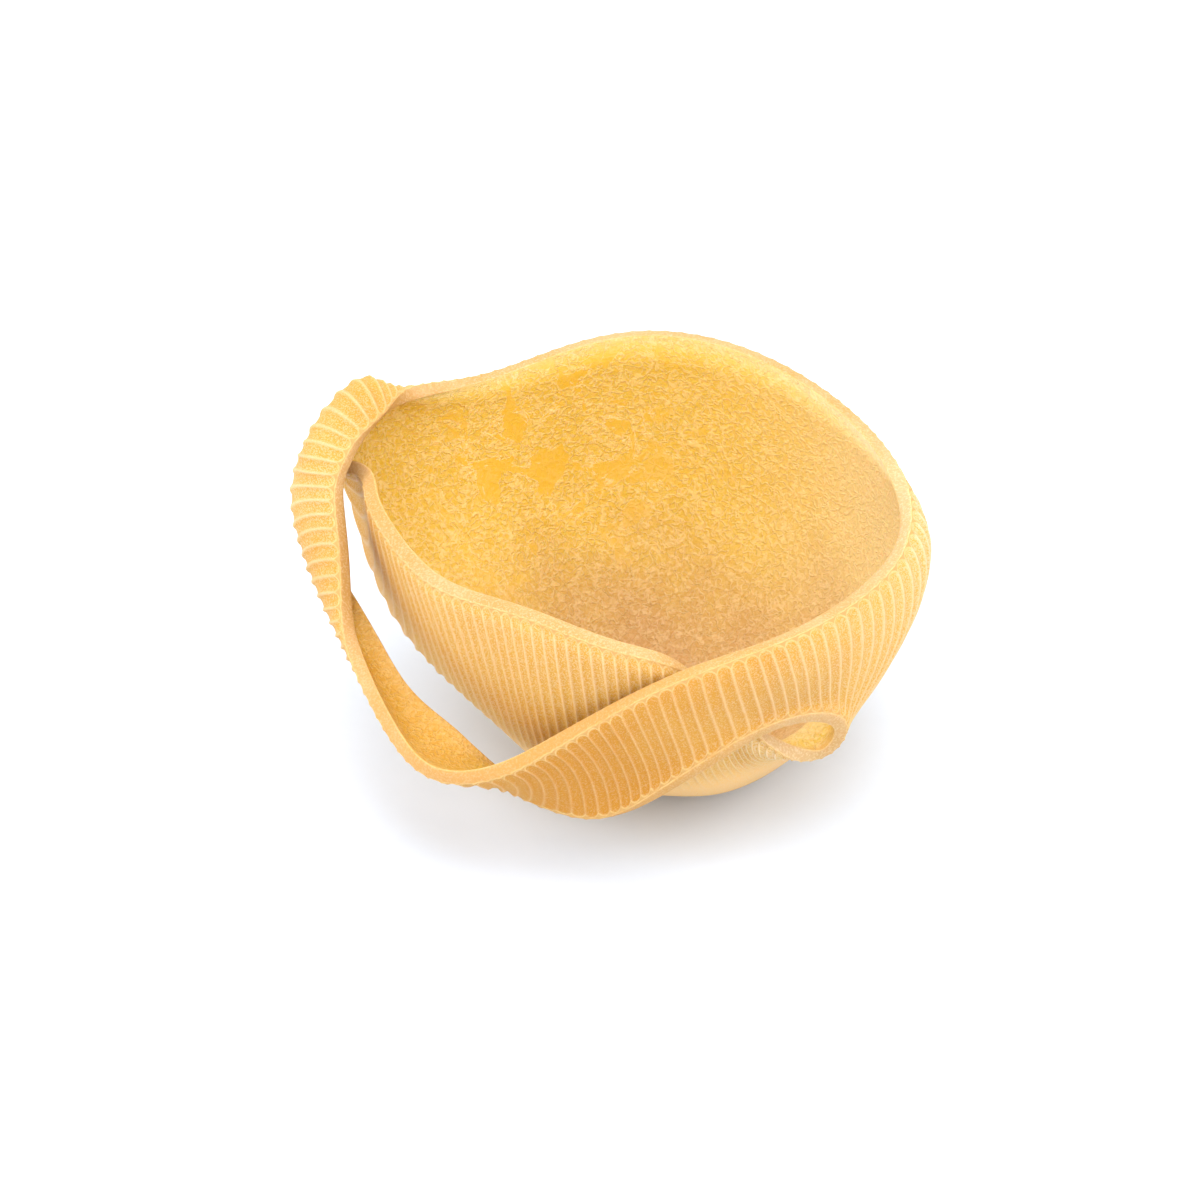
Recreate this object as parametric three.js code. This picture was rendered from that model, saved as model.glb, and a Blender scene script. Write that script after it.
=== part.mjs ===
// Giant ribbed pasta shell: one closed ring of dough, ribbed outside and smooth inside.
// Its two cut edges are the wide rim of the bowl and the edge of the slit in front.
// Millimetres, +Z up. The bowl rests on a small flat spot and the slit faces -Y.
import * as THREE from 'three';

const wall = 2.1; // dough thickness between the ribs
const ribHeight = 0.45;
const ribCount = 120;
const rowsAlong = 12; // steps along a rib, from the rim to the slit
const endCrowding = 0.25; // 0 spaces the steps evenly, more draws them towards the two cut edges
const rollReach = 0.1; // share of a rib where a rolled rim stands out most
const smoothBelow = 7; // the ribs are worn away under this height
const ribbedAbove = 16; // and stand at their full height over this one
const floorHeight = 1.6; // the round bottom is pressed flat at this height, which becomes z = 0
const restSpot = [2, -0.5]; // middle of that flat spot, which becomes x = y = 0
const floorSink = 0.1; // how far the pressed dough reaches below it before it is cut level

// Guide ribs in order round the ring. Each runs from the rim to the slit as one cubic curve,
// bent by a pull near the rim and a pull near the slit. The roll lifts the rim's edge outward.
const guideRibs = [
  { place: 'back', rim: [1.5, 44.8, 51.7], slit: [-14.8, -30.8, 48.5],
    rimPull: [3, 51, -16], slitPull: [-8.3, -38.7, -16.5] },
  { place: 'back left', rim: [-12, 41.8, 50.6], slit: [-23.2, -24.7, 47.6],
    rimPull: [-14, 48.5, -11.5], slitPull: [-11.2, -35.7, -12] },
  { place: 'left dip', rim: [-25, 36.2, 48.8], slit: [-31.9, -16.6, 46], roll: [0, 0.3, 1.4],
    rimPull: [-28, 43, 2], slitPull: [-17.4, -26.5, -3.3] },
  { place: 'left back', rim: [-36, 28, 51], slit: [-38.6, -4.4, 45.4], roll: [-1, 2, 3],
    rimPull: [-45, 38, 14], slitPull: [-27.3, -9.9, 2.4] },
  { place: 'left curl', rim: [-41, 20.5, 51.2], slit: [-42.3, 5, 46.6], roll: [-1.2, 4, 7.2],
    rimPull: [-50.5, 35, 30], slitPull: [-37.5, 12, 12] },
  { place: 'bow', rim: [-44.2, 15.5, 50.2], slit: [-43.6, 12.6, 46.1], roll: [-2.8, 1.5, 3.2],
    rimPull: [-56, 30, 42], slitPull: [-39.4, 23.2, 30.6] },
  { place: 'notch', rim: [-46.2, 12, 48.2], slit: [-47.8, 16.8, 43.9], roll: [-1.8, 0.5, 0.3],
    rimPull: [-58.5, 17.5, 48], slitPull: [-49, 26.4, 38.6] },
  { place: 'strap top', rim: [-47.4, 8.5, 44.5], slit: [-51, 14.5, 38.5],
    rimPull: [-55.3, 13, 43.6], slitPull: [-56.3, 17, 37] },
  { place: 'strap side', rim: [-46.5, 1.5, 38], slit: [-48.5, 8, 32.3],
    rimPull: [-53.3, 5, 36.6], slitPull: [-53.3, 8.5, 30] },
  { place: 'strap lower', rim: [-46, -6, 31.5], slit: [-44.9, 1.5, 29.5],
    rimPull: [-49.5, -3, 29.6], slitPull: [-49, 1, 27] },
  { place: 'strap foot', rim: [-44, -15.2, 28.3], slit: [-40.1, -8, 26.5],
    rimPull: [-44.5, -13, 26], slitPull: [-43, -9, 24] },
  { place: 'corner', rim: [-39.2, -26.4, 24.5], slit: [-35, -17, 23.5],
    rimPull: [-38.5, -24, 22], slitPull: [-37, -20, 21.5] },
  { place: 'corner end', rim: [-32.8, -35.8, 22.8], slit: [-28, -25, 22],
    rimPull: [-31, -32.5, 20.5], slitPull: [-29.5, -29, 19] },
  { place: 'twist', rim: [-24, -39.3, 25], slit: [-22.2, -29, 17.4],
    rimPull: [-20, -35.5, 22], slitPull: [-20, -32.5, 15.8] },
  { place: 'flap left', rim: [-15.5, -39, 29.5], slit: [-9.3, -34.3, 13],
    rimPull: [-10, -37, 27], slitPull: [-9.3, -34.3, 16.8] },
  { place: 'flap middle', rim: [-4.5, -40.5, 38.5], slit: [1.5, -38, 19],
    rimPull: [-1, -40.6, 31.6], slitPull: [1, -35, 23] },
  { place: 'flap right', rim: [7.5, -40.5, 45.5], slit: [11.5, -39, 27.5],
    rimPull: [9, -42, 38], slitPull: [11, -35, 29.5] },
  { place: 'right front', rim: [19.5, -35, 47], slit: [22.5, -33, 30],
    rimPull: [22.5, -38, 39.4], slitPull: [22.5, -27.5, 32.5] },
  { place: 'pinch', rim: [30.5, -25, 46.5], slit: [31, -27, 25.5],
    rimPull: [33.6, -28, 37.6], slitPull: [30, -21, 27] },
  { place: 'right', rim: [39.5, -9, 45], slit: [28.5, -26, 19],
    rimPull: [46.8, -13, 33.5], slitPull: [28, -19, 19] },
  { place: 'right side', rim: [41.5, 5, 46], slit: [21.5, -28.5, 23], roll: [0.8, 0, 0],
    rimPull: [52.4, 1, 28.5], slitPull: [18.2, -26, 11.8] },
  { place: 'right back', rim: [38, 19, 47], slit: [14, -31, 32],
    rimPull: [47, 22, -2], slitPull: [13, -33, 5] },
  { place: 'back right', rim: [29, 31, 49.5], slit: [6, -36, 43.5],
    rimPull: [33, 37, -12], slitPull: [9.2, -39.4, -9] },
  { place: 'back middle', rim: [16, 40.2, 51.7], slit: [-4.1, -35.4, 46.9],
    rimPull: [19, 47, -15], slitPull: [1.8, -39.5, -15.7] },
];

// A closed smooth curve through one point of every guide rib (a uniform cubic B-spline).
const fittingPasses = 40;

function closedCurve(key) {
  const points = guideRibs.map((rib) => new THREE.Vector3(...(rib[key] ?? [0, 0, 0])));
  const count = points.length;
  let control = points;
  for (let pass = 0; pass < fittingPasses; pass += 1) {
    const last = control;
    control = points.map((point, i) => point.clone().multiplyScalar(6)
      .sub(last[(i + count - 1) % count]).sub(last[(i + 1) % count]).divideScalar(4));
  }
  return (turn) => {
    const place = (((turn % 1) + 1) % 1) * count;
    const i = Math.floor(place);
    const f = place - i;
    const shares = [
      (1 - f) ** 3,
      3 * f ** 3 - 6 * f ** 2 + 4,
      -3 * f ** 3 + 3 * f ** 2 + 3 * f + 1,
      f ** 3,
    ];
    const point = new THREE.Vector3();
    shares.forEach((share, k) => point.addScaledVector(control[(i + count - 1 + k) % count], share / 6));
    return point;
  };
}

const rimCurve = closedCurve('rim');
const rimPull = closedCurve('rimPull');
const slitPull = closedCurve('slitPull');
const slitCurve = closedCurve('slit');
const rimRoll = closedCurve('roll');

// Even spacing of the ribs: share of the way round to turn of the guide ribs. The way is measured
// along the rim and the slit together.
const waySteps = 2000;
const wayLengths = [0];
for (let i = 1; i <= waySteps; i += 1) {
  const [from, to] = [(i - 1) / waySteps, i / waySteps];
  const step = rimCurve(to).distanceTo(rimCurve(from)) + slitCurve(to).distanceTo(slitCurve(from));
  wayLengths.push(wayLengths[i - 1] + step);
}

function turnAt(share) {
  const whole = Math.floor(share);
  const wanted = (share - whole) * wayLengths[waySteps];
  let i = 1;
  while (i < waySteps && wayLengths[i] < wanted) i += 1;
  const part = (wanted - wayLengths[i - 1]) / (wayLengths[i] - wayLengths[i - 1]);
  return whole + (i - 1 + part) / waySteps;
}

// Middle of the dough: share goes once round the ring, along goes from the rim (0) to the slit (1).
function middle(share, along) {
  const turn = turnAt(share);
  const back = 1 - along;
  return rimCurve(turn).multiplyScalar(back ** 3)
    .addScaledVector(rimPull(turn), 3 * back * back * along)
    .addScaledVector(slitPull(turn), 3 * back * along * along)
    .addScaledVector(slitCurve(turn), along ** 3)
    .addScaledVector(rimRoll(turn), (along / rollReach) * Math.exp(1 - along / rollReach));
}

function outward(share, along) {
  const d = 1e-3;
  const round = middle(share + d, along).sub(middle(share - d, along));
  const down = middle(share, Math.min(1, along + d)).sub(middle(share, Math.max(0, along - d)));
  return down.cross(round).normalize();
}

// A point off the middle of the dough, with the bottom of the bowl pressed flat on z = 0.
function doughPoint(share, along, offset) {
  const point = middle(share, along);
  point.z = Math.max(point.z, floorHeight + wall / 2 - floorSink);
  point.addScaledVector(outward(share, along), offset);
  point.z = Math.max(point.z, floorHeight);
  return point.sub(new THREE.Vector3(...restSpot, floorHeight));
}

const ribbed = [];
const smooth = [];
const columns = ribCount * 2;
for (let i = 0; i < columns; i += 1) {
  for (let j = 0; j <= rowsAlong; j += 1) {
    const share = i / columns;
    const even = j / rowsAlong;
    const along = even - endCrowding * Math.sin(2 * Math.PI * even) / (2 * Math.PI);
    const worn = THREE.MathUtils.smoothstep(middle(share, along).z, smoothBelow, ribbedAbove);
    const crest = i % 2 === 0 ? ribHeight * worn : 0;
    ribbed.push(doughPoint(share, along, wall / 2 + crest));
    if (i % 2 === 0) smooth.push(doughPoint(share, along, -wall / 2));
  }
}

const rows = rowsAlong + 1;
const positions = [...ribbed, ...smooth].flatMap((p) => [p.x, p.y, p.z]);
const outsideAt = (i, j) => (i % columns) * rows + j;
const insideAt = (i, j) => ribbed.length + (i % ribCount) * rows + j;
const faces = [];
for (let i = 0; i < columns; i += 1) {
  for (let j = 0; j < rowsAlong; j += 1) {
    faces.push(outsideAt(i, j), outsideAt(i, j + 1), outsideAt(i + 1, j + 1));
    faces.push(outsideAt(i, j), outsideAt(i + 1, j + 1), outsideAt(i + 1, j));
  }
}
for (let i = 0; i < ribCount; i += 1) {
  for (let j = 0; j < rowsAlong; j += 1) {
    faces.push(insideAt(i, j), insideAt(i + 1, j + 1), insideAt(i, j + 1));
    faces.push(insideAt(i, j), insideAt(i + 1, j), insideAt(i + 1, j + 1));
  }
  // The two cut edges: three triangles a rib, turned the other way at the slit.
  for (const [j, flip] of [[0, false], [rowsAlong, true]]) {
    const fan = [
      [insideAt(i, j), outsideAt(2 * i, j), outsideAt(2 * i + 1, j)],
      [insideAt(i, j), outsideAt(2 * i + 1, j), insideAt(i + 1, j)],
      [insideAt(i + 1, j), outsideAt(2 * i + 1, j), outsideAt(2 * i + 2, j)],
    ];
    fan.forEach(([p, q, r]) => faces.push(...(flip ? [p, r, q] : [p, q, r])));
  }
}

const geometry = new THREE.BufferGeometry();
geometry.setAttribute('position', new THREE.Float32BufferAttribute(positions, 3));
geometry.setIndex(faces);
geometry.computeVertexNormals();
const shell = new THREE.Mesh(geometry, new THREE.MeshStandardMaterial({
  color: 0xf2c25a, roughness: 0.6, metalness: 0,
}));
shell.name = 'pasta_shell';

const pasta = new THREE.Group();
pasta.add(shell);
export default pasta;
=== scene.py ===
"""A giant dried pasta shell, a caccavella: one ring of ribbed semolina dough, folded into an open bowl
with a strap across its front. Metres throughout, +Z up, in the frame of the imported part."""
import math

import bpy
import numpy as np
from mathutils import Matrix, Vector


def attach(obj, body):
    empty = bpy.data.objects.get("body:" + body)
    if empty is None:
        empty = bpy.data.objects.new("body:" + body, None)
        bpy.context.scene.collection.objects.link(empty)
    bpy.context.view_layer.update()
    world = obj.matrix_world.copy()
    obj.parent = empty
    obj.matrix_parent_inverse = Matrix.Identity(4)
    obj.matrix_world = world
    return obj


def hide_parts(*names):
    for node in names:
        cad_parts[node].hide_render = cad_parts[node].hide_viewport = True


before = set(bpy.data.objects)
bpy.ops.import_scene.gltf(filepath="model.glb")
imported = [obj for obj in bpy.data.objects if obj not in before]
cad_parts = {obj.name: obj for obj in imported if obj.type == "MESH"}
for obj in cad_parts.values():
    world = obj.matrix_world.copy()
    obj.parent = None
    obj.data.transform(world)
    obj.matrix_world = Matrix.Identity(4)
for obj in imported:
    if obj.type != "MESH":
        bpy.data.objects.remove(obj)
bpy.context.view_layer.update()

# ---------------------------------------------------------------------------------------------
# The shell. One sheet of durum dough about 2 mm thick, pressed through a ribbed die and closed
# into a ring. Each rib runs from the wide rim to the edge of the slit as one cubic curve.
# ---------------------------------------------------------------------------------------------
mm = 0.001
wall = 2.1 * mm
rib_height = 0.45 * mm
rib_count = 120
rows_outside = 60
rows_inside = 30
bevel = 0.6 * mm
roll_reach = 0.1
floor_height = 1.6 * mm
floor_sink = 0.1 * mm
rest_spot = np.array([2.0, -0.5]) * mm
smooth_below, ribbed_above = 14 * mm, 22 * mm
short_rib, long_rib = 30 * mm, 60 * mm
crest_width = 0.17
pressed_reach = 2.5 * mm

# place, rim, pull near the rim, pull near the slit, slit, roll of the dough by the rim (mm)
flat = (0, 0, 0)
guide_ribs = [
    ("back", (1.5, 44.8, 51.7), (3, 51, -16), (-8.3, -38.7, -16.5), (-14.8, -30.8, 48.5), flat),
    ("back left", (-12, 41.8, 50.6), (-14, 48.5, -11.5), (-11.2, -35.7, -12), (-23.2, -24.7, 47.6), flat),
    ("left dip", (-25, 36.2, 48.8), (-28, 43, 2), (-17.4, -26.5, -3.3), (-31.9, -16.6, 46), (0, 0.3, 1.4)),
    ("left back", (-36, 28, 51), (-45, 38, 14), (-27.3, -9.9, 2.4), (-38.6, -4.4, 45.4), (-1, 2, 3)),
    ("left curl", (-41, 20.5, 51.2), (-50.5, 35, 30), (-37.5, 12, 12), (-42.3, 5, 46.6), (-1.2, 4, 7.2)),
    ("bow", (-44.2, 15.5, 50.2), (-56, 30, 42), (-39.4, 23.2, 30.6), (-43.6, 12.6, 46.1), (-2.8, 1.5, 3.2)),
    ("notch", (-46.2, 12, 48.2), (-58.5, 17.5, 48), (-49, 26.4, 38.6), (-47.8, 16.8, 43.9), (-1.8, 0.5, 0.3)),
    ("strap top", (-47.4, 8.5, 44.5), (-55.3, 13, 43.6), (-56.3, 17, 37), (-51, 14.5, 38.5), flat),
    ("strap side", (-46.5, 1.5, 38), (-53.3, 5, 36.6), (-53.3, 8.5, 30), (-48.5, 8, 32.3), flat),
    ("strap lower", (-46, -6, 31.5), (-49.5, -3, 29.6), (-49, 1, 27), (-44.9, 1.5, 29.5), flat),
    ("strap foot", (-44, -15.2, 28.3), (-44.5, -13, 26), (-43, -9, 24), (-40.1, -8, 26.5), flat),
    ("corner", (-39.2, -26.4, 24.5), (-38.5, -24, 22), (-37, -20, 21.5), (-35, -17, 23.5), flat),
    ("corner end", (-32.8, -35.8, 22.8), (-31, -32.5, 20.5), (-29.5, -29, 19), (-28, -25, 22), flat),
    ("twist", (-24, -39.3, 25), (-20, -35.5, 22), (-20, -32.5, 15.8), (-22.2, -29, 17.4), flat),
    ("flap left", (-15.5, -39, 29.5), (-10, -37, 27), (-9.3, -34.3, 16.8), (-9.3, -34.3, 13), flat),
    ("flap middle", (-4.5, -40.5, 38.5), (-1, -40.6, 31.6), (1, -35, 23), (1.5, -38, 19), flat),
    ("flap right", (7.5, -40.5, 45.5), (9, -42, 38), (11, -35, 29.5), (11.5, -39, 27.5), flat),
    ("right front", (19.5, -35, 47), (22.5, -38, 39.4), (22.5, -27.5, 32.5), (22.5, -33, 30), flat),
    ("pinch", (30.5, -25, 46.5), (33.6, -28, 37.6), (30, -21, 27), (31, -27, 25.5), flat),
    ("right", (39.5, -9, 45), (46.8, -13, 33.5), (28, -19, 19), (28.5, -26, 19), flat),
    ("right side", (41.5, 5, 46), (52.4, 1, 28.5), (18.2, -26, 11.8), (21.5, -28.5, 23), (0.8, 0, 0)),
    ("right back", (38, 19, 47), (47, 22, -2), (13, -33, 5), (14, -31, 32), flat),
    ("back right", (29, 31, 49.5), (33, 37, -12), (9.2, -39.4, -9), (6, -36, 43.5), flat),
    ("back middle", (16, 40.2, 51.7), (19, 47, -15), (1.8, -39.5, -15.7), (-4.1, -35.4, 46.9), flat),
]
guides = np.array([rib[1:] for rib in guide_ribs], dtype=float) * mm

# How much flour clings to the dough at each guide rib, on its ribbed side and on its smooth side. The amounts
# also paint light and shade: more flour paints a paler sheen down the right-hand side, and less flour paints
# shade, darker and more saturated, on the front flap, around the strap's corner, low on the left and in the
# curl.
ribbed_flour_light_and_shade = dict.fromkeys([rib[0] for rib in guide_ribs], 0.45)
ribbed_flour_light_and_shade |= {"strap foot": 0.3, "corner": 0.2, "corner end": 0.15, "twist": 0.1, "flap left": 0.05}
ribbed_flour_light_and_shade |= {"flap middle": 0.1, "flap right": 0.2, "right front": 0.35, "right": 0.6, "right side": 0.9}
ribbed_flour_light_and_shade |= {"right back": 0.6, "left back": 0.35, "left curl": 0.25, "bow": 0.35, "notch": 0.4}
ribbed_flour_light_and_shade |= {"strap top": 0.5, "strap side": 0.35, "strap lower": 0.35}
smooth_flour_light_and_shade = dict.fromkeys([rib[0] for rib in guide_ribs], 0.3)
smooth_flour_light_and_shade |= {"strap top": 0.4, "strap side": 0.4, "strap lower": 0.25, "strap foot": 0, "corner": 0}
smooth_flour_light_and_shade |= {"corner end": 0, "right front": 0.1, "pinch": 0.1, "right": 0.5, "right side": 0.9}
smooth_flour_light_and_shade |= {"right back": 0.85, "back right": 0.6, "back middle": 0.4}


def closed_curve(points):
    """Control points of the smooth closed curve that passes through every point."""
    control = points.copy()
    for _ in range(40):
        control = (6 * points - np.roll(control, 1, 0) - np.roll(control, -1, 0)) / 4
    return control


controls = [closed_curve(guides[:, k]) for k in range(5)]


def on_curve(control, turn):
    """Points of a smooth closed curve; turn goes from 0 to 1 once round it."""
    place = (np.asarray(turn) % 1) * len(control)
    i = np.floor(place).astype(int)
    f = (place - i)[..., None]
    shares = [(1 - f) ** 3, 3 * f**3 - 6 * f**2 + 4, -3 * f**3 + 3 * f**2 + 3 * f + 1, f**3]
    return sum(share * control[(i + k - 1) % len(control)] for k, share in enumerate(shares)) / 6


# Even spacing of the ribs: share of the way round to turn, measured along rim and slit together.
way_turns = np.linspace(0, 1, 4001)
way_lengths = sum(np.linalg.norm(np.diff(on_curve(controls[k], way_turns), axis=0), axis=1) for k in (0, 3))
way_lengths = np.concatenate([[0], np.cumsum(way_lengths)]) / np.sum(way_lengths)


def middle(share, along):
    """Middle of the dough: share goes once round the ring, along from the rim to the slit."""
    turn = np.floor(share) + np.interp(share % 1, way_lengths, way_turns)
    rim, rim_pull, slit_pull, slit, roll = [on_curve(control, turn) for control in controls]
    a = along[..., None]
    b = 1 - a
    lift = a / roll_reach * np.exp(1 - a / roll_reach)
    return b**3 * rim + 3 * b * b * a * rim_pull + 3 * b * a * a * slit_pull + a**3 * slit + lift * roll


def unit(vectors):
    return vectors / np.linalg.norm(vectors, axis=-1, keepdims=True)


def outward(share, along):
    """Direction out of the ribbed side of the dough."""
    d = 1e-3
    around = middle(share + d, along) - middle(share - d, along)
    down = middle(share, np.minimum(1, along + d)) - middle(share, np.maximum(0, along - d))
    return unit(np.cross(down, around))


def dough(share, along, offset):
    """Points off the middle of the dough, with the bottom of the bowl pressed flat on z = 0."""
    point = middle(share, along)
    point[..., 2] = np.maximum(point[..., 2], floor_height + wall / 2 - floor_sink)
    point = point + outward(share, along) * offset[..., None]
    point[..., 2] = np.maximum(point[..., 2], floor_height)
    return point - np.array([*rest_spot, floor_height])


def eased(x, low, high):
    """0 below low, 1 above high, eased in between."""
    t = np.clip((x - low) / (high - low), 0, 1)
    return t * t * (3 - 2 * t)


rib_places = np.array([0, 0.09, 0.22, 0.5, 0.78, 0.91])
columns = rib_count * len(rib_places)
shares = (np.arange(rib_count)[:, None] + rib_places).ravel() / rib_count
steps = np.linspace(0, 1, 241)
path = middle(*np.meshgrid(shares, steps, indexing="ij"))
path_lengths = np.cumsum(np.linalg.norm(np.diff(path, axis=1), axis=2), axis=1)
path_lengths = np.concatenate([np.zeros((columns, 1)), path_lengths], axis=1)


def spaced(rows, from_rim, from_slit, by_the_edges):
    """Places along every rib: close together by the two cut edges, even in between."""
    places = []
    for lengths in path_lengths:
        first, last = from_rim, lengths[-1] - from_slit
        even = np.linspace(first + by_the_edges[-1], last - by_the_edges[-1], rows - 2 * len(by_the_edges))
        distances = np.concatenate([first + by_the_edges, even, (last - by_the_edges)[::-1]])
        places.append(np.interp(distances, lengths, steps))
    return np.array(places)


# The knife leans, so the ribbed side ends a little before the smooth side.
along_outside = spaced(rows_outside, bevel, bevel, np.array([0, 0.22, 0.5]) * mm)
along_inside = spaced(rows_inside, 0, 0, np.array([0, 0.4]) * mm)[:, ::-1]
share_outside = np.repeat(shares[:, None], rows_outside, 1)
share_inside = np.repeat(shares[:, None], rows_inside, 1)

# A rib is a narrow round ridge between wide flat grooves, and no two are quite equal. The knife
# presses them down towards the cuts, and the long ones are worn away under the bowl.
dice = np.random.default_rng(7)
off_crest = np.tile(np.minimum(rib_places, 1 - rib_places), rib_count)[:, None]
crest = np.exp(-((off_crest / crest_width) ** 2))
rib_size = np.repeat(1 + 0.10 * dice.standard_normal(rib_count), len(rib_places))[:, None]
height_above_floor = middle(share_outside, along_outside)[..., 2]
long_ribs = eased(path_lengths[:, -1:], short_rib, long_rib)
unworn = 1 - (1 - eased(height_above_floor, smooth_below, ribbed_above)) * long_ribs
skin_steps = np.linalg.norm(np.diff(middle(share_outside, along_outside), axis=1), axis=2)
from_rim = np.pad(np.cumsum(skin_steps, axis=1), ((0, 0), (1, 0)))
from_cut = np.minimum(from_rim, from_rim[:, -1:] - from_rim)
pressed = 0.4 + 0.6 * eased(from_cut, 0, pressed_reach)
ridge = crest * rib_size.clip(0.75, 1.1) * unworn * pressed
ribbed_side = dough(share_outside, along_outside, wall / 2 + rib_height * ridge)
smooth_side = dough(share_inside, along_inside, np.full(share_inside.shape, -wall / 2))

# The cut edges: nearly flat, with softly rounded corners, from the ribbed side to the smooth side.
cut_profile = [(0.05, 0.10), (0.18, 0.20), (0.40, 0.22), (0.62, 0.20), (0.84, 0.17), (0.95, 0.09)]


def cut_edge(first, last, beyond):
    """Rows of points from one side of the dough to the other; beyond points out of the cut."""
    return np.stack([first * (1 - t) + last * t + beyond * (swell * mm) for t, swell in cut_profile], axis=1)


slit_cut = cut_edge(ribbed_side[:, -1], smooth_side[:, 0], unit(smooth_side[:, 0] - smooth_side[:, 1]))
rim_cut = cut_edge(smooth_side[:, -1], ribbed_side[:, 0], unit(smooth_side[:, -1] - smooth_side[:, -2]))
loops = np.concatenate([ribbed_side, slit_cut, smooth_side, rim_cut], axis=1)
per_loop = loops.shape[1]
index = np.arange(columns * per_loop).reshape(columns, per_loop)
across = np.roll(index, -1, 0)
quads = np.stack([index, np.roll(index, -1, 1), np.roll(across, -1, 1), across], axis=-1).reshape(-1, 4)
ribbed, smooth, cut = 0, 1, 2
cut_quads = [cut] * (len(cut_profile) + 1)
finishes = [ribbed] * (rows_outside - 1) + cut_quads + [smooth] * (rows_inside - 1) + cut_quads

shell_mesh = bpy.data.meshes.new("ribbed_shell")
shell_mesh.from_pydata(loops.reshape(-1, 3).tolist(), [], quads.tolist())
shell_mesh.polygons.foreach_set("material_index", np.tile(finishes, columns))
shell_mesh.polygons.foreach_set("use_smooth", np.ones(len(quads), dtype=bool))


def mark(name, values):
    """Keeps one value for every point of the shell, for its materials to read."""
    layer = shell_mesh.attributes.new(name, "FLOAT", "POINT")
    layer.data.foreach_set("value", values.reshape(-1))


# Marks for the materials: how far a point is from a crest line (0 on it, 1 midway to the next),
# how far from the nearest corner of a cut edge, how worn its rib is and how floury it is, an amount that also
# paints a paler sheen where high and shade where low.
round_the_loop = np.linalg.norm(np.roll(loops, -1, 1) - loops, axis=2)
reached = np.cumsum(round_the_loop, axis=1) - round_the_loop
whole = round_the_loop.sum(axis=1, keepdims=True)
corners = [0, rows_outside - 1, rows_outside + len(cut_profile), per_loop - len(cut_profile) - 1]
from_corners = [np.abs(reached - reached[:, [corner]]) for corner in corners]
from_corner = np.min([np.minimum(distance, whole - distance) for distance in from_corners], axis=0)
turns = np.interp(shares, way_lengths, way_turns)[:, None]
flour_light_and_shade_columns = [on_curve(closed_curve(np.array(list(flour_light_and_shade_table.values()))[:, None]), turns[:, 0])
                 for flour_light_and_shade_table in (ribbed_flour_light_and_shade, smooth_flour_light_and_shade)]
flour_light_and_shade = np.repeat(flour_light_and_shade_columns[0], per_loop, 1)
clean_by_the_slit = 1 - along_inside**4
flour_light_and_shade[:, rows_outside + len(cut_profile):per_loop - len(cut_profile)] = flour_light_and_shade_columns[1] * clean_by_the_slit
mark("off_crest", np.repeat(off_crest * 2, per_loop, 1))
mark("from_corner", from_corner / mm)
mark("worn_ribs", np.pad(1 - unworn, ((0, 0), (0, per_loop - rows_outside)), mode="edge"))
mark("flour_light_and_shade", flour_light_and_shade)
shell_mesh.update()
shell = bpy.data.objects.new("ribbed_shell", shell_mesh)
bpy.context.collection.objects.link(shell)


class Socket:
    """A shader value that can be written in sums, differences, products and powers."""

    def __init__(self, tree, link):
        self.tree = tree
        self.link = link

    def node(self, kind, settings=None, output=0, **inputs):
        """Any other node: its type, the settings made first, then its inputs by name or number."""
        made = self.tree.nodes.new(kind)
        for key, value in (settings or {}).items():
            setattr(made, key, value)
        for key, value in inputs.items():
            slot = made.inputs[int(key[1:]) if key[1:].isdigit() else key.replace("_", " ")]
            if isinstance(value, Socket):
                self.tree.links.new(value.link, slot)
            else:
                slot.default_value = value
        return Socket(self.tree, made.outputs[output])

    def maths(self, operation, a, b=0.0):
        return self.node("ShaderNodeMath", {"operation": operation}, i0=a, i1=b)

    def __add__(self, other):
        return self.maths("ADD", self, other)

    def __sub__(self, other):
        return self.maths("SUBTRACT", self, other)

    def __rsub__(self, other):
        return self.maths("SUBTRACT", other, self)

    def __mul__(self, other):
        return self.maths("MULTIPLY", self, other)

    def __pow__(self, other):
        return self.maths("POWER", self, other)

    __radd__ = __add__
    __rmul__ = __mul__

    def between(self, low, high):
        """0 below low, 1 above high, eased in between."""
        return self.node("ShaderNodeMapRange", {"interpolation_type": "SMOOTHSTEP"},
                         Value=self, From_Min=low, From_Max=high)

    def mix(self, first, second):
        """Colour mix by this value."""
        return self.node("ShaderNodeMix", {"data_type": "RGBA"}, 2, i0=self, i6=first, i7=second)


# Dried semolina dough: warm yellow, matte, a little see-through at thin places, with a fine
# leathery grain, flour caught on the ribs' crests and paler, drier cut edges.
ribbed_look = bpy.data.materials.new("ribbed_dough")
smooth_look = bpy.data.materials.new("smooth_dough")
cut_look = bpy.data.materials.new("cut_dough")
for look in (ribbed_look, smooth_look, cut_look):
    look.use_nodes = True
    shell_mesh.materials.append(look)
    dough_shader = look.node_tree.nodes["Principled BSDF"]
    dough_shader.inputs["Subsurface Weight"].default_value = 0.25
    dough_shader.inputs["Subsurface Radius"].default_value = (1.0, 0.5, 0.15)
    dough_shader.inputs["Subsurface Scale"].default_value = 1.2 * mm
    dough_shader.inputs["IOR"].default_value = 1.45
    dough_shader.inputs["Specular IOR Level"].default_value = 0.35


def noise(start, per_mm, detail, roughness=0.6, distortion=0.0, where=None):
    """Soft lumps, about per_mm of them to a millimetre."""
    where = where or start.node("ShaderNodeTexCoord", output=3)
    return start.node("ShaderNodeTexNoise", Vector=where, Scale=per_mm / mm, Detail=detail,
                      Roughness=roughness, Distortion=distortion)


def worms(start, per_mm, width, detail, distortion):
    """Thin winding ridges, 1 on the ridge and 0 a little off it."""
    wave = noise(start, per_mm, detail, 0.5, distortion)
    return 1 - wave.maths("ABSOLUTE", wave - 0.5).between(0, width)


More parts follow.
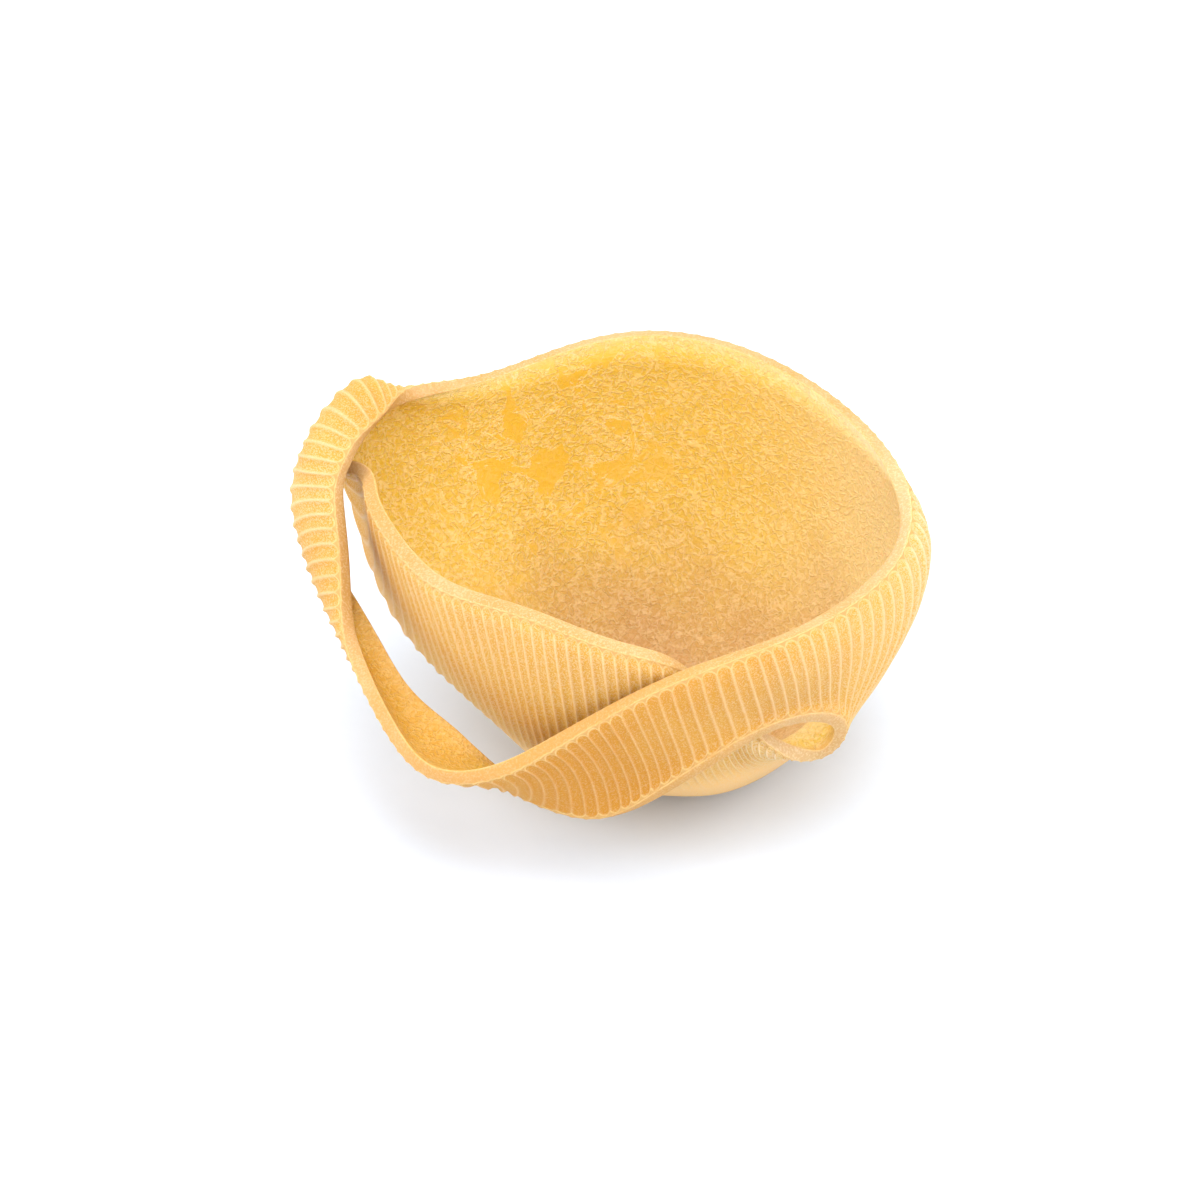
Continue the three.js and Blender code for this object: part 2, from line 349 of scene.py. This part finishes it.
def put(start, colour, roughness, height, depth):
    """Joins a colour, a roughness and a relief of some depth to a look's shader."""
    shader = start.tree.nodes["Principled BSDF"]
    start.tree.links.new(colour.link, shader.inputs["Base Color"])
    start.tree.links.new(roughness.link, shader.inputs["Roughness"])
    bump = start.node("ShaderNodeBump", Height=height, Strength=1.0, Distance=depth)
    start.tree.links.new(bump.link, shader.inputs["Normal"])


flour_colour = (0.67, 0.51, 0.31, 1)
pale_skin = (0.80, 0.58, 0.25, 1)

# Ribbed side: saturated grooves full of floury grains, a soft pale line along every crest, and a
# pale scalloped border where each groove ends in a rounded tip short of the cut.
clean_groove = (0.49, 0.205, 0.012, 1)
floury_groove = (0.58, 0.31, 0.045, 1)
worn_dough = (0.72, 0.42, 0.145, 1)
by_the_cut = (0.51, 0.29, 0.09, 1)
start = Socket(ribbed_look.node_tree, None)
off_crest_here, from_corner_here, worn_here, flour_light_and_shade_here = [
    start.node("ShaderNodeAttribute", {"attribute_name": name}, 2)
    for name in ("off_crest", "from_corner", "worn_ribs", "flour_light_and_shade")]
cloud = noise(start, 0.05, 3.0)
grains = noise(start, 3.2, 3.0, 0.7)
fine = noise(start, 4.8, 2.0, 0.6)
patchy = noise(start, 0.45, 3.0, 0.6)
# The flour amount paints light and shade as well as flour: paler grooves, dust and crests on the right-hand
# side are a painted sheen, and darker, cleaner grooves on the front flap are painted shade.
groove = (flour_light_and_shade_here + (cloud - 0.5) * 0.6).between(0, 0.6)
groove = groove.mix(clean_groove, floury_groove)
groove = (worn_here * 0.95).mix(groove, worn_dough)
dusted = (grains * 0.5 + fine * 0.5 + flour_light_and_shade_here * 0.06).between(0.50, 0.58)
colour = (dusted * (0.2 + flour_light_and_shade_here * 0.6 - worn_here * 0.1)).mix(groove, flour_colour)
on_crest = (1 - (off_crest_here + grains * 0.3 - 0.15).between(0.0, 0.36)) * (1 - worn_here)
colour = (on_crest * (patchy * 0.35 + flour_light_and_shade_here * 0.75)).mix(colour, flour_colour)
groove_end = (1 - off_crest_here) ** 2.5 * 0.8 + patchy * 0.5
past_end = from_corner_here - groove_end
colour = past_end.between(-0.25, 0.5).mix(by_the_cut, colour)
border = 1 - past_end.maths("ABSOLUTE", past_end).between(0.0, 0.3)
colour = (border * (grains + patchy * 0.9 - 0.6)).mix(colour, pale_skin)
put(start, colour, 0.5 + grains * 0.25, grains * 0.8 + fine * 0.3 + border * 0.3, 0.12 * mm)

# Smooth side: a leathery skin of fine winding wrinkles with pale threads on them, and every ripple
# painted paler on its upper side as a painted highlight. One stretch dried glossier, in patches with flaking
# edges, and there are a few dark specks of bran.
amber_skin, straw_skin = (0.615, 0.372, 0.024, 1), (0.635, 0.398, 0.04, 1)
bare_skin, floury_skin = (0.53, 0.27, 0.028, 1), (0.68, 0.51, 0.24, 1)
deep_skin, glossy_skin = (0.445, 0.238, 0.09, 1), (0.72, 0.41, 0.028, 1)
pale_thread_and_highlight, deep_thread_and_highlight = (0.79, 0.60, 0.29, 1), (0.66, 0.45, 0.24, 1)
bran_speck = (0.30, 0.13, 0.05, 1)
glossy_middle = (-14 * mm, 30 * mm, 36 * mm)
start = Socket(smooth_look.node_tree, None)
where = start.node("ShaderNodeTexCoord", output=3)
from_corner_here, flour_light_and_shade_here = [start.node("ShaderNodeAttribute", {"attribute_name": name}, 2)
                                 for name in ("from_corner", "flour_light_and_shade")]
cloud = noise(start, 0.05, 3.0)
grain = noise(start, 2.6, 4.0, 0.65)
patchy = noise(start, 0.30, 3.0, 0.6)
threads = worms(start, 0.78, 0.10, 1.5, 0.6)
# Painted highlight: each ripple is paler on its upper side, as if lit from above.
upslope = start.node("ShaderNodeVectorMath", {"operation": "ADD"}, i0=where, i1=(0, -0.08 * mm, 0.13 * mm))
ripple, next_ripple = [noise(start, 1.35, 1.5, 0.5, 0.6, place) for place in (where, upslope)]
lit_side = ((next_ripple - ripple) * 5 + 0.5).between(0.1, 1.0)
# Darker and browner towards the bottom of the bowl, below about 24 mm.
height_here = start.node("ShaderNodeSeparateXYZ", output=2, Vector=where)
deep = 1 - (height_here + (cloud - 0.5) * (20 * mm)).between(2 * mm, 24 * mm)
from_stretch = start.node("ShaderNodeVectorMath", {"operation": "DISTANCE"}, 1, i0=where, i1=glossy_middle)
stretch = 1 - from_stretch.between(14 * mm, 34 * mm)
patch_wave = noise(start, 0.16, 5.0, 0.62, 0.6) + stretch * 0.06
glossy = patch_wave.between(0.60, 0.63) * stretch
flakes = (1 - patch_wave.maths("ABSOLUTE", patch_wave - 0.605).between(0, 0.02)) * stretch
flakes = flakes * patchy.between(0.42, 0.56)
skin = cloud.between(0.3, 0.7).mix(amber_skin, straw_skin)
# The flour amount paints light and shade as well as flour: the paler floury skin on the right-hand side is a
# painted sheen, and the darker bare skin inside the strap's corner and in the curl is painted shade.
skin = flour_light_and_shade_here.between(0, 0.3).mix(bare_skin, skin)
skin = flour_light_and_shade_here.between(0.25, 1.0).mix(skin, floury_skin)
skin = (deep * 0.9).mix(skin, deep_skin)
threads_and_lit_sides = (threads * 0.65 + lit_side * 0.45) * (1 - glossy * 0.6)
threads_and_lit_sides = threads_and_lit_sides * (0.45 + flour_light_and_shade_here.between(0, 0.3) * 0.55)
colour = (threads_and_lit_sides * 0.55).mix(skin, deep.mix(pale_thread_and_highlight, deep_thread_and_highlight))
colour = (glossy * 0.35).mix(colour, glossy_skin)
colour = (flakes * 0.8).mix(colour, pale_skin)
bran = start.node("ShaderNodeTexVoronoi", Vector=where, Scale=0.14 / mm)
bran_colour = start.node("ShaderNodeTexVoronoi", output=1, Vector=where, Scale=0.14 / mm)
chosen = start.node("ShaderNodeSeparateColor", Color=bran_colour).between(0.88, 0.89)
colour = ((1 - bran.between(0.02, 0.045)) * chosen * 0.7).mix(colour, bran_speck)
# Flour along the cut corners, partly a painted highlight where the rounded corner catches the light.
at_corner = 1 - (from_corner_here + patchy * 1.5).between(0.8, 4.0)
colour = (at_corner * (0.1 + flour_light_and_shade_here * 0.45)).mix(colour, flour_colour)
relief = (threads * 0.3 + ripple - 0.65) * (1 - glossy * 0.7) + grain * 0.1
put(start, colour, 0.48 + grain * 0.25 - glossy * 0.25, relief, 0.28 * mm)

# Cut edges: dry, pale and chalky, whiter along both corners, partly flour and partly a painted highlight on
# the rounded corners.
chalk_yellow, chalk_pale = (0.48, 0.26, 0.07, 1), (0.52, 0.30, 0.11, 1)
chalk_clean, chalk_floury = (0.50, 0.25, 0.055, 1), (0.54, 0.34, 0.15, 1)
start = Socket(cut_look.node_tree, None)
cloud = noise(start, 0.09, 3.0)
grain = noise(start, 2.8, 4.0, 0.7)
patchy = noise(start, 0.45, 3.0, 0.6)
from_corner_here, flour_light_and_shade_here = [start.node("ShaderNodeAttribute", {"attribute_name": name}, 2)
                                 for name in ("from_corner", "flour_light_and_shade")]
chalk = cloud.between(0.35, 0.65).mix(chalk_yellow, chalk_pale)
# The paler chalk where the flour amount is high, on the right-hand side, is partly a painted sheen.
chalk = flour_light_and_shade_here.between(0, 0.4).mix(chalk_clean, chalk)
chalk = flour_light_and_shade_here.between(0.4, 0.9).mix(chalk, chalk_floury)
colour = (grain.between(0.45, 0.65) * (0.2 + flour_light_and_shade_here * 0.6)).mix(chalk, flour_colour)
colour = ((1 - from_corner_here.between(0.0, 0.35)) * (patchy * 1.2 - 0.25)).mix(colour, pale_skin)
put(start, colour, 0.55 + grain * 0.2, grain, 0.12 * mm)

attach(shell, "root")
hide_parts("pasta_shell")

# ---------------------------------------------------------------------------------------------
# The table: one sheet of matt white card, wide enough to run out of view on every side. The shell
# stands loose on it, on the flat spot under its bowl.
# ---------------------------------------------------------------------------------------------
table_half = 3.0
cool_white, paler_white = (0.63, 0.69, 0.775, 1), (0.65, 0.71, 0.795, 1)
table_mesh = bpy.data.meshes.new("white_sheet")
table_mesh.from_pydata([(-table_half, -table_half, 0), (table_half, -table_half, 0),
                        (table_half, table_half, 0), (-table_half, table_half, 0)], [], [(0, 1, 2, 3)])
table = bpy.data.objects.new("white_sheet", table_mesh)
bpy.context.collection.objects.link(table)
sheet_look = bpy.data.materials.new("matt_white")
sheet_look.use_nodes = True
table_mesh.materials.append(sheet_look)
start = Socket(sheet_look.node_tree, None)
sheet_grain = noise(start, 0.3, 3.0)
sheet = sheet_look.node_tree.nodes["Principled BSDF"]
sheet_colour = sheet_grain.mix(cool_white, paler_white)
sheet_look.node_tree.links.new(sheet_colour.link, sheet.inputs["Base Color"])
sheet_look.node_tree.links.new((0.6 + sheet_grain * 0.1).link, sheet.inputs["Roughness"])
sheet.inputs["Specular IOR Level"].default_value = 0.2

# ---------------------------------------------------------------------------------------------
# The light: a white studio all round, with a round soft box on each side, in front, above and behind,
# each turned to the foot of the shell.
# ---------------------------------------------------------------------------------------------
foot = Vector((0, 0, 0.02))
studio = bpy.data.worlds.new("studio")
studio.use_nodes = True
studio.node_tree.nodes["Background"].inputs["Color"].default_value = (1, 1, 1, 1)
studio.node_tree.nodes["Background"].inputs["Strength"].default_value = 1.2
bpy.context.scene.world = studio
bpy.context.scene.view_settings.view_transform = "Standard"
for name, place, size, power in [
    ("left_box", (-0.8, 0, 0.5), 0.7, 3.7),
    ("right_box", (0.8, 0, 0.5), 0.7, 2.7),
    ("front_box", (0, -0.95, 0.45), 0.7, 3.8),
    ("top_box", (0.05, -0.30, 1.2), 1.3, 9.0),
    ("back_box", (0, 0.55, 1.1), 1.0, 3.0),
]:
    soft_box = bpy.data.lights.new(name, "AREA")
    soft_box.shape = "DISK"
    soft_box.size = size
    soft_box.energy = power
    holder = bpy.data.objects.new(name, soft_box)
    holder.location = place
    holder.rotation_euler = (foot - Vector(place)).to_track_quat("-Z", "Y").to_euler()
    bpy.context.collection.objects.link(holder)

# ---------------------------------------------------------------------------------------------
# The camera: a long lens a metre and a half away, looking down into the open bowl from in front.
# ---------------------------------------------------------------------------------------------
lens = bpy.data.cameras.new("camera")
lens.sensor_width = 36
lens.lens = 283.5
looking_down = math.radians(35)
distance = 1.5
look_at = Vector((-8.35, 3.51, 26.70)) * mm
camera = bpy.data.objects.new("camera", lens)
camera.location = look_at + distance * Vector((0, -math.cos(looking_down), math.sin(looking_down)))
camera.rotation_euler = (math.pi / 2 - looking_down, 0, 0)
bpy.context.collection.objects.link(camera)
bpy.context.scene.camera = camera
